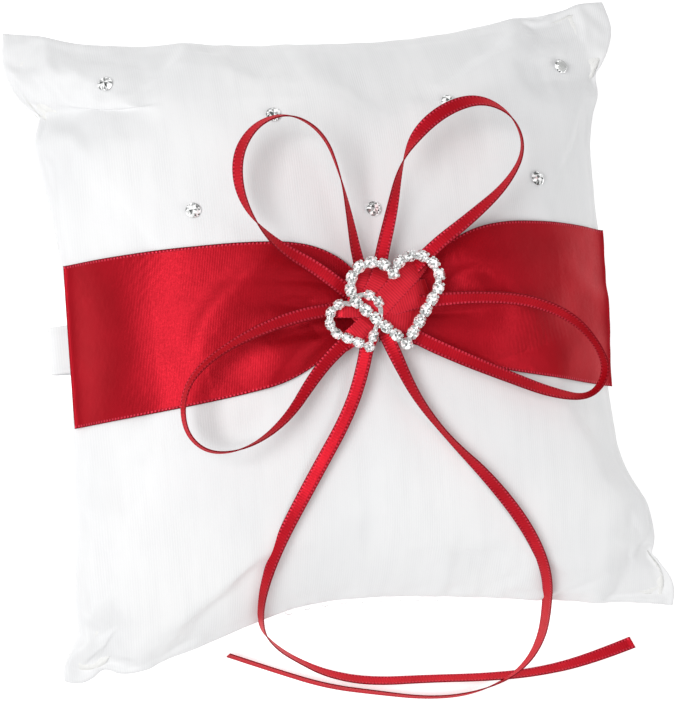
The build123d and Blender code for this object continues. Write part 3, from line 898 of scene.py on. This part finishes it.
def heart_line(heart, share):
    """Places on a heart by share of the way round from its notch: an arc over one lobe and a straight side
    down to the point, and the mirror of both."""
    share = np.asarray(share, float)
    spread, lobe, tip = heart["spread"], heart["lobe"], heart["tip"]
    start = np.arctan2(np.sqrt(lobe ** 2 - spread ** 2), -spread)
    end = np.arctan2(-tip, -spread) + np.arccos(lobe / np.hypot(spread, tip))
    around = lobe * (start - end)
    down = np.sqrt(spread ** 2 + tip ** 2 - lobe ** 2)
    travelled = 2 * np.minimum(share, 1 - share) * (around + down)
    angle = start - travelled / lobe
    left = (around + down - travelled) / down
    on_arc = travelled < around
    x = np.where(on_arc, spread + lobe * np.cos(angle), left * (spread + lobe * np.cos(end)))
    y = np.where(on_arc, lobe * np.sin(angle), -tip + left * (tip + lobe * np.sin(end)))
    x = np.where(share > 0.5, -x, x)
    turn = np.radians(heart["turn"])
    return np.stack([heart["middle"][0] + x * np.cos(turn) - y * np.sin(turn),
                     heart["middle"][1] + x * np.sin(turn) + y * np.cos(turn)], axis=-1)


def cut_stone(sides, table=0.52, back=0.45):
    """A round cut stone of radius 1: rings of points for its table, crown, girdle and back."""
    turn = 2 * np.pi / sides
    angle = np.arange(sides) * turn

    def ring(radius, at, z):
        return np.stack([radius * np.cos(at), radius * np.sin(at), np.full(len(at), z)], axis=1)

    points = np.concatenate([
        ring(table, angle, 1.0), ring(0.80, angle + turn / 2, 0.62),
        ring(1.0, np.arange(2 * sides) * turn / 2, 0.28), ring(back, angle, 0.0),
        [(0, 0, 1.0), (0, 0, 0)]])
    k = np.arange(sides)
    after = (k + 1) % sides
    crown_ring, girdle, base, apex = sides, 2 * sides, 4 * sides, 5 * sides
    faces = [[apex, i, j] for i, j in zip(k, after)]
    faces += [[i, crown_ring + i, j] for i, j in zip(k, after)]
    faces += [[i, girdle + 2 * i, crown_ring + i] for i in k]
    faces += [[i, crown_ring + (i - 1) % sides, girdle + 2 * i] for i in k]
    faces += [[crown_ring + i, girdle + 2 * i, girdle + 2 * i + 1] for i in k]
    faces += [[crown_ring + i, girdle + 2 * i + 1, girdle + (2 * i + 2) % (2 * sides)] for i in k]
    faces += [[girdle + 2 * i, base + i, girdle + 2 * i + 1] for i in k]
    faces += [[girdle + 2 * i + 1, base + i, base + j] for i, j in zip(k, after)]
    faces += [[girdle + 2 * i + 1, base + j, girdle + (2 * i + 2) % (2 * sides)] for i, j in zip(k, after)]
    faces += [[apex + 1, base + j, base + i] for i, j in zip(k, after)]
    return points, np.array(faces)


def set_stones(name, middles, radius, height, axes, sides, seed, lights, shares):
    """Cut stones at their middles, each turned about its own axis, as one mesh. Each facet keeps one of the
    painted light levels, a painted reflection from bright to dark, drawn by their shares."""
    draw = np.random.default_rng(seed)
    points, faces = cut_stone(sides)
    count = len(middles)
    spin = draw.uniform(0, 2 * np.pi / sides, count)[:, None]
    x = (points[None, :, 0] * np.cos(spin) - points[None, :, 1] * np.sin(spin)) * radius
    y = (points[None, :, 0] * np.sin(spin) + points[None, :, 1] * np.cos(spin)) * radius
    z = np.broadcast_to(points[None, :, 2] * height, x.shape)
    sideways = unit(np.cross((0, 1, 0), axes))
    upward = np.cross(axes, sideways)
    placed = (np.asarray(middles)[:, None] + x[..., None] * sideways[:, None]
              + y[..., None] * upward[:, None] + z[..., None] * axes[:, None])
    placed, every = copies(placed, faces)
    piece = make(name, placed, every, clear_crystal, smooth=False)
    light = draw.choice(lights, size=len(every), p=shares)
    facet = piece.data.attributes.new("facet", "FLOAT", "FACE")
    facet.data.foreach_set("value", light.astype(np.float32))
    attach(piece, "root")
    return piece


def setting(name, heart, places):
    """A heart's metal: a rail under its stones, a cup round each stone, and four claws on each cup."""
    radius = heart["stone"] / 2
    base = heart["base"]
    closed_line = heart_line(heart, np.linspace(0, 1, heart_steps + 1)[:-1])
    ahead = unit(np.roll(closed_line, -1, 0) - np.roll(closed_line, 1, 0))
    side = np.stack([-ahead[:, 1], ahead[:, 0]], axis=1)
    section = np.array([(-0.7, 0.0), (0.7, 0.0), (0.7, 0.6), (0.0, 0.75), (-0.7, 0.6)])
    rail_height = np.broadcast_to(base + section[None, :, 1:], (heart_steps, len(section), 1))
    rail = np.concatenate([closed_line[:, None] + side[:, None] * section[None, :, :1], rail_height], axis=2)
    rail_faces = grid_faces(heart_steps, len(section), closed=True, looped=True)
    angle = round_angles(16)
    cup = np.array([(0.55, 0.1), (0.8, 0.1), (1.06, 1.15), (1.08, 1.35), (0.98, 1.38), (0.72, 0.5)])
    cup[:, 0] *= radius
    ring = np.stack([cup[:, None, 0] * np.cos(angle), cup[:, None, 0] * np.sin(angle),
                     np.broadcast_to(base + cup[:, 1:], (len(cup), len(angle)))], axis=-1)
    cup_faces = grid_faces(len(cup), len(angle), closed=True, looped=True)
    claw = np.array([(x, y, z) for z, near, far in ((0.9, 0.98, 1.28), (1.7, 0.92, 1.24), (2.1, 0.76, 1.0))
                     for x, y in ((near, -0.24), (far, -0.24), (far, 0.24), (near, 0.24))], float)
    claw *= (radius, radius, 1)
    claw[:, 2] += base
    claw_faces = np.concatenate([grid_faces(3, 4, closed=True), [(0, 3, 2, 1), (8, 9, 10, 11)]])
    nearest_step = np.linalg.norm(places[:, None] - closed_line[None], axis=2).argmin(axis=1)
    heading = np.arctan2(ahead[nearest_step, 1], ahead[nearest_step, 0])
    quarter = (heading[:, None] + np.radians((38, 142, 218, 322)))[..., None]
    claws = np.stack([claw[:, 0] * np.cos(quarter) - claw[:, 1] * np.sin(quarter),
                      claw[:, 0] * np.sin(quarter) + claw[:, 1] * np.cos(quarter),
                      np.broadcast_to(claw[:, 2], quarter.shape[:2] + (len(claw),))], axis=-1)
    shift = np.c_[places, np.zeros(len(places))]
    offset, points, faces = 0, [], []
    for part_points, part_faces in ((rail.reshape(-1, 3), rail_faces),
                                    copies(ring.reshape(1, -1, 3) + shift[:, None], cup_faces),
                                    copies(claws + shift[:, None, None], claw_faces)):
        points.append(part_points)
        faces.append(part_faces + offset)
        offset += len(part_points)
    piece = make(name, np.concatenate(points), np.concatenate(faces), silver_setting, smooth=False)
    outward(piece)
    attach(piece, "root")
    return piece


up_axis = np.array((0.0, 0.0, 1.0))
big_places = heart_line(big_heart, np.arange(big_heart["stones"]) / big_heart["stones"])
small_places = heart_line(small_heart, np.arange(small_heart["stones"]) / small_heart["stones"])
big_way = heart_line(big_heart, np.linspace(0, 1, heart_steps + 1)[:-1])
nearest = np.linalg.norm(small_places[:, None] - big_way[None], axis=2).min(axis=1)
clear = 2.0 + small_heart["stone"] / 2  # no small stone sits closer than this to the big heart's line
small_places = small_places[nearest > clear]
for heart_name, heart, places, seed in (("big_heart", big_heart, big_places, 3),
                                        ("small_heart", small_heart, small_places, 8)):
    radius = heart["stone"] / 2
    middles = np.c_[places, np.full(len(places), heart["base"] + 0.75)]
    upright = np.tile(up_axis, (len(places), 1))
    # the stones' facets get painted reflection levels from bright to dark, with these shares
    stones = set_stones(heart_name + "_brilliants", middles, radius + stone_overlap, stone_height, upright, 8,
                        seed, (1.0, 0.92, 0.60, 0.38, 0.16), (0.33, 0.22, 0.17, 0.16, 0.12))
    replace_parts(stones, heart_name + "_stones")
    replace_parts(setting(heart_name + "_setting", heart, places), heart_name + "_frame")

# ---- scattered crystals

for number in range(1, 8):
    low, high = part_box(f"crystal_{number}")
    place = np.array((low + high)[:2]) / 2 / MM
    around = place + np.array([(0, 0), (1.2, 0), (-1.2, 0), (0, 1.2), (0, -1.2)])
    height = top_of(cover, around)
    normal = unit(np.array((-(height[1] - height[2]) / 2.4, -(height[3] - height[4]) / 2.4, 1.0)))
    middle = np.r_[place, height[0]] + normal * 0.3
    # the crystal's facets get painted reflection levels from bright to dark, with these shares
    gem = set_stones(f"scattered_crystal_{number}", [middle], 2.35, 1.75, normal[None], 10, 20 + number,
                     (1.0, 0.85, 0.55, 0.25, 0.02), (0.26, 0.20, 0.18, 0.16, 0.20))
    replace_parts(gem, f"crystal_{number}")

# ---- strap and carried-over pieces

strap_path = [(-88.7, 31.6), (-96.2, 28), (-92, 18.5), (-77, 9.6), (-57.5, 3.2), (-38, 0.45), (0, 0.45),
              (38, 0.45), (57, 3.4), (74.8, 10.2), (86.6, 19), (89.8, 26.5), (88.7, 31.6)]
strap_line = spline_line(np.array([(x, 1.0, z) for x, z in strap_path]))
strap_ahead = directions(strap_line)
strap_across = np.tile((0.0, 1.0, 0.0), (len(strap_line), 1))
strap_quarter = [(7.5, 0), (7.45, 0.3), (6.9, 0.42), (6.2, 0.36), (5.9, 0.2), (3, 0.2), (0, 0.2)]
strap_section = all_round(strap_quarter)
strap = strip("back_strap", strap_line, strap_across, np.cross(strap_ahead, strap_across), strap_section,
              white_satin)
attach(strap, "root")
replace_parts(strap, "hand_strap")

for node, finish in (("gather_thread", red_thread), ("buckle_stitches", white_thread),
                     ("crystal_glue", clear_glue)):
    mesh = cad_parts[node].data
    mesh.materials.clear()
    mesh.materials.append(finish)
